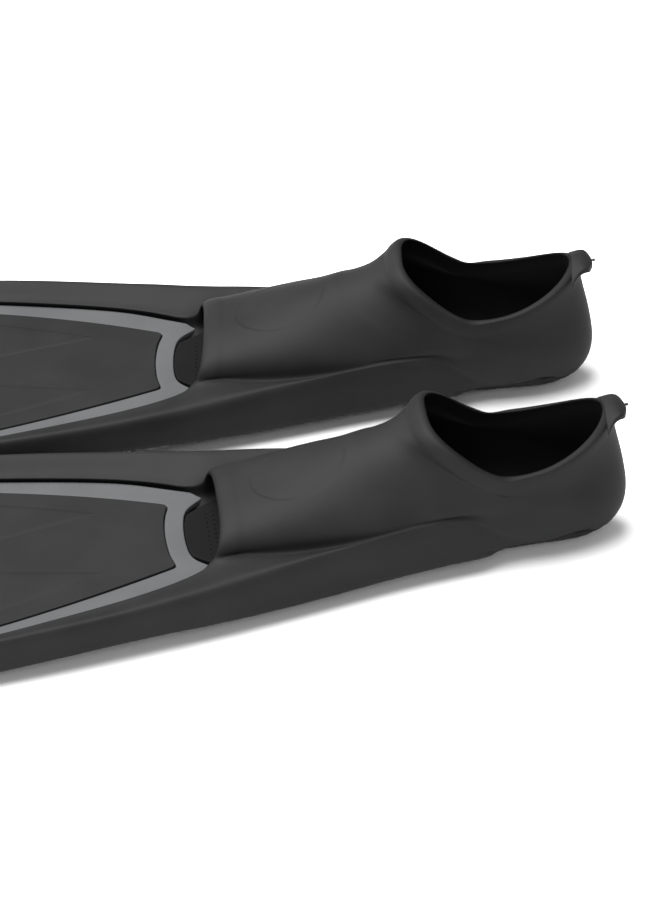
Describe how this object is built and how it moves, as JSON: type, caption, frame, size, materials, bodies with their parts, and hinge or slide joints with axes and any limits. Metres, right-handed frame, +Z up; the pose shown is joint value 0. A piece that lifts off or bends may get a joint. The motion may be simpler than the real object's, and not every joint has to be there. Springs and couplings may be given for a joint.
{
  "type": "pair of full-foot swim fins",
  "caption": "Pair of long full-foot swim fins: rubber foot pockets with pull tabs, flexible blades with side rails and grey inserts.",
  "frame": {"origin": "on the floor under the middle of the pair's bounding box", "axes": "+X from the blades' tips towards the heels, +Y from the left fin to the right fin, +Z up"},
  "size_m": [0.6342, 0.4354, 0.1],
  "materials": {
    "pocket_rubber": "soft matt moulded rubber",
    "footbed_rubber": "matt rubber with small nubs",
    "sole_rubber": "matt treaded rubber",
    "rail_rubber": "satin moulded rubber",
    "insert_rubber": "smooth grey rubber",
    "blade_plastic": "fine-grained moulded plastic",
    "pin_plastic": "smooth nylon"
  },
  "bodies": {
    "left_foot": {"left_foot_pocket": "pocket_rubber", "left_footbed": "footbed_rubber", "left_sole_tread": "sole_rubber", "left_blade_core": "blade_plastic", "left_toe_insert": "insert_rubber", "left_inner_rail_root": "rail_rubber", "left_outer_rail_root": "rail_rubber"},
    "left_blade": {"left_blade_panel": "blade_plastic", "left_inner_rail": "rail_rubber", "left_outer_rail": "rail_rubber", "left_inner_channel": "insert_rubber", "left_outer_channel": "insert_rubber"},
    "left_tab": {"left_heel_tab": "pocket_rubber", "left_tag_pin": "pin_plastic"},
    "right_foot": {"right_foot_pocket": "pocket_rubber", "right_footbed": "footbed_rubber", "right_sole_tread": "sole_rubber", "right_blade_core": "blade_plastic", "right_toe_insert": "insert_rubber", "right_inner_rail_root": "rail_rubber", "right_outer_rail_root": "rail_rubber"},
    "right_blade": {"right_blade_panel": "blade_plastic", "right_inner_rail": "rail_rubber", "right_outer_rail": "rail_rubber", "right_inner_channel": "insert_rubber", "right_outer_channel": "insert_rubber"},
    "right_tab": {"right_heel_tab": "pocket_rubber", "right_tag_pin": "pin_plastic"}
  },
  "joints": [
    {"name": "right_fin_apart", "type": "slide", "parent": "left_foot", "child": "right_foot", "axis": [0, 1, 0], "range_m": [0, 0.3]},
    {"name": "left_blade_flex", "type": "hinge", "parent": "left_foot", "child": "left_blade", "pos_m": [0.03904, -0.09536, 0.024], "axis": [-0.0506, 0.9987, 0], "range_deg": [-25, 25], "stiffness_Nm_per_rad": 25},
    {"name": "left_tab_fold", "type": "hinge", "parent": "left_foot", "child": "left_tab", "pos_m": [0.3061, -0.08183, 0.0824], "axis": [-0.0506, 0.9987, 0], "range_deg": [-60, 25], "stiffness_Nm_per_rad": 0.4},
    {"name": "right_blade_flex", "type": "hinge", "parent": "right_foot", "child": "right_blade", "pos_m": [0.03904, 0.09536, 0.024], "axis": [0.0506, 0.9987, 0], "range_deg": [-25, 25], "stiffness_Nm_per_rad": 25},
    {"name": "right_tab_fold", "type": "hinge", "parent": "right_foot", "child": "right_tab", "pos_m": [0.3061, 0.08183, 0.0824], "axis": [0.0506, 0.9987, 0], "range_deg": [-60, 25], "stiffness_Nm_per_rad": 0.4}
  ]
}
